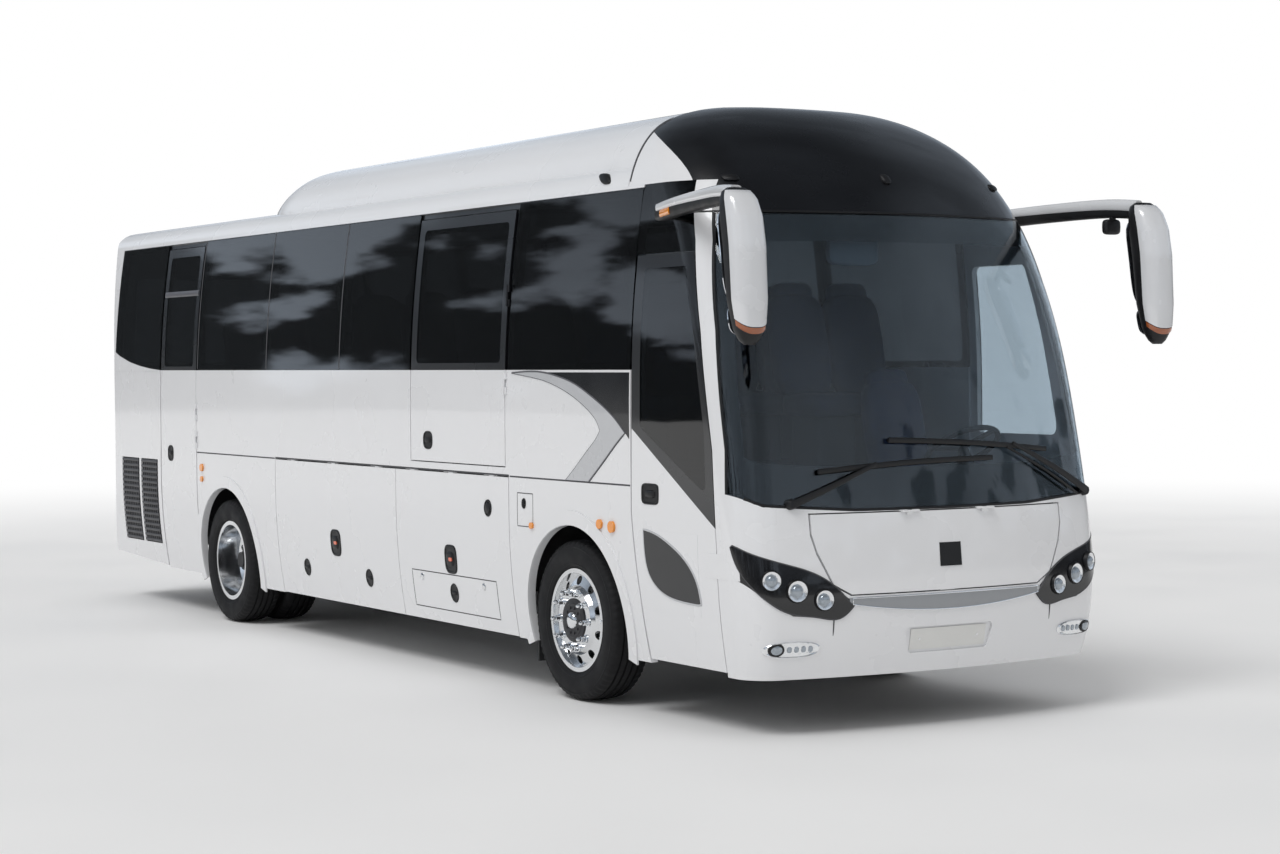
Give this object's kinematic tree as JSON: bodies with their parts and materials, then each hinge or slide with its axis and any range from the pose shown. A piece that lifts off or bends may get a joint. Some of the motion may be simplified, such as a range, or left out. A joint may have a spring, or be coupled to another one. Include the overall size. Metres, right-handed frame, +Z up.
{
  "type": "coach bus",
  "caption": "Touring coach with a domed front, tinted glass sides, luggage doors, swing-out entrance door, steered front wheels and twin rear wheels.",
  "frame": {"origin": "on the floor, under the middle of the bounding box", "axes": "+Z up, the coach faces -Y, its entrance side is -X"},
  "size_m": [3, 10.374, 3.4947],
  "materials": {
    "body_white": "gloss pearl white paint",
    "mask_black": "gloss black mask",
    "tinted_glass": "dark tinted",
    "clear_glass": "green tinted laminated",
    "dark_frame": "satin black",
    "chassis": "black chassis paint",
    "deck": "floor covering",
    "bay_lining": "plain sheet",
    "alloy": "polished",
    "tyre": "rubber",
    "trim_silver": "satin silver",
    "lamp": "gloss black housing",
    "tail_red": "red lens",
    "amber": "amber lens",
    "interior": "grained plastic",
    "seat_fabric": "woven moquette",
    "grille": "dark grey",
    "engine": "as cast",
    "mirror_shell": "silver white"
  },
  "bodies": {
    "coach": {"chassis_rails": "chassis", "cross_members": "chassis", "tow_jaws": "chassis", "luggage_bay": "bay_lining", "floor_deck": "deck", "entrance_steps": "deck", "wheel_housings": "chassis", "engine_block": "engine", "front_axle": "chassis", "rear_axle": "chassis", "side_wall_right": "body_white", "side_wall_left": "body_white", "side_glass_right": "tinted_glass", "side_glass_left": "tinted_glass", "lower_panels_right": "body_white", "lower_panels_left": "body_white", "roof": "body_white", "ac_fairing": "body_white", "front_dome": "mask_black", "windscreen": "clear_glass", "cab_sides": "body_white", "front_bumper": "body_white", "front_trim": "trim_silver", "front_lamps": "lamp", "rear_wall": "body_white", "rear_glass": "tinted_glass", "rear_bumper": "body_white", "tail_lamps": "tail_red", "side_grilles": "grille", "dashboard": "interior", "seats": "seat_fabric", "mirrors": "mirror_shell", "wipers": "dark_frame", "marker_lamps": "amber"},
    "door_arm": {"door_arm": "dark_frame"},
    "entrance_door": {"entrance_door": "body_white", "entrance_door_glass": "tinted_glass"},
    "emergency_door": {"emergency_door": "body_white", "emergency_door_glass": "tinted_glass"},
    "rear_door": {"rear_door": "body_white", "rear_door_glass": "tinted_glass"},
    "luggage_door_right_front": {"luggage_door_right_front": "body_white"},
    "luggage_door_right_rear": {"luggage_door_right_rear": "body_white"},
    "luggage_door_left_front": {"luggage_door_left_front": "body_white"},
    "luggage_door_left_rear": {"luggage_door_left_rear": "body_white"},
    "front_flap": {"front_flap": "body_white"},
    "engine_lid": {"engine_lid": "body_white"},
    "knuckle_left": {"knuckle_left": "chassis"},
    "knuckle_right": {"knuckle_right": "chassis"},
    "front_wheel_left": {"front_rim_left": "alloy", "front_tyre_left": "tyre"},
    "front_wheel_right": {"front_rim_right": "alloy", "front_tyre_right": "tyre"},
    "rear_wheels_left": {"rear_rims_left": "alloy", "rear_tyres_left": "tyre"},
    "rear_wheels_right": {"rear_rims_right": "alloy", "rear_tyres_right": "tyre"}
  },
  "joints": [
    {"name": "steer_left", "type": "hinge", "parent": "coach", "child": "knuckle_left", "pos_m": [0.96, -2.957, 0.479], "axis": [0, 0, 1], "range_deg": [-40, 40]},
    {"name": "steer_right", "type": "hinge", "parent": "coach", "child": "knuckle_right", "pos_m": [-0.96, -2.957, 0.479], "axis": [0, 0, 1], "range_deg": [-40, 40]},
    {"name": "front_wheel_left_spin", "type": "hinge", "parent": "knuckle_left", "child": "front_wheel_left", "pos_m": [1.0725, -2.957, 0.479], "axis": [1, 0, 0], "continuous": true},
    {"name": "front_wheel_right_spin", "type": "hinge", "parent": "knuckle_right", "child": "front_wheel_right", "pos_m": [-1.0725, -2.957, 0.479], "axis": [1, 0, 0], "continuous": true},
    {"name": "rear_wheels_left_spin", "type": "hinge", "parent": "coach", "child": "rear_wheels_left", "pos_m": [0.9125, 2.443, 0.479], "axis": [1, 0, 0], "continuous": true},
    {"name": "rear_wheels_right_spin", "type": "hinge", "parent": "coach", "child": "rear_wheels_right", "pos_m": [-0.9125, 2.443, 0.479], "axis": [1, 0, 0], "continuous": true},
    {"name": "door_swing", "type": "hinge", "parent": "coach", "child": "door_arm", "pos_m": [-1.118, -4.457, 1], "axis": [0, 0, 1], "range_deg": [0, 110]},
    {"name": "door_level", "type": "hinge", "parent": "door_arm", "child": "entrance_door", "pos_m": [-1.16, -3.977, 1], "axis": [0, 0, 1], "range_deg": [-110, 0]},
    {"name": "emergency_door_hinge", "type": "hinge", "parent": "coach", "child": "emergency_door", "pos_m": [-1.24364, -2.203, 2.15], "axis": [0.0549, 0, 0.9985], "range_deg": [0, 90]},
    {"name": "rear_door_hinge", "type": "hinge", "parent": "coach", "child": "rear_door", "pos_m": [-1.26, 2.993, 1.5], "axis": [0, 0, 1], "range_deg": [0, 90]},
    {"name": "luggage_door_right_front_hinge", "type": "hinge", "parent": "coach", "child": "luggage_door_right_front", "pos_m": [-1.245, -1.4445, 1.31], "axis": [0, 1, 0], "range_deg": [0, 85]},
    {"name": "luggage_door_right_rear_hinge", "type": "hinge", "parent": "coach", "child": "luggage_door_right_rear", "pos_m": [-1.245, 0.378, 1.31], "axis": [0, 1, 0], "range_deg": [0, 85]},
    {"name": "luggage_door_left_front_hinge", "type": "hinge", "parent": "coach", "child": "luggage_door_left_front", "pos_m": [1.245, -1.4445, 1.31], "axis": [0, -1, 0], "range_deg": [0, 85]},
    {"name": "luggage_door_left_rear_hinge", "type": "hinge", "parent": "coach", "child": "luggage_door_left_rear", "pos_m": [1.245, 0.378, 1.31], "axis": [0, -1, 0], "range_deg": [0, 85]},
    {"name": "front_flap_hinge", "type": "hinge", "parent": "coach", "child": "front_flap", "pos_m": [0, -4.981, 1.1915], "axis": [-1, 0, 0], "range_deg": [0, 70]},
    {"name": "engine_lid_hinge", "type": "hinge", "parent": "coach", "child": "engine_lid", "pos_m": [0, 5.181, 1.5835], "axis": [1, 0, 0], "range_deg": [0, 75]}
  ],
  "couplings": [
    {"joint": "steer_right", "follows": "steer_left", "ratio": 1},
    {"joint": "door_level", "follows": "door_swing", "ratio": -1}
  ]
}
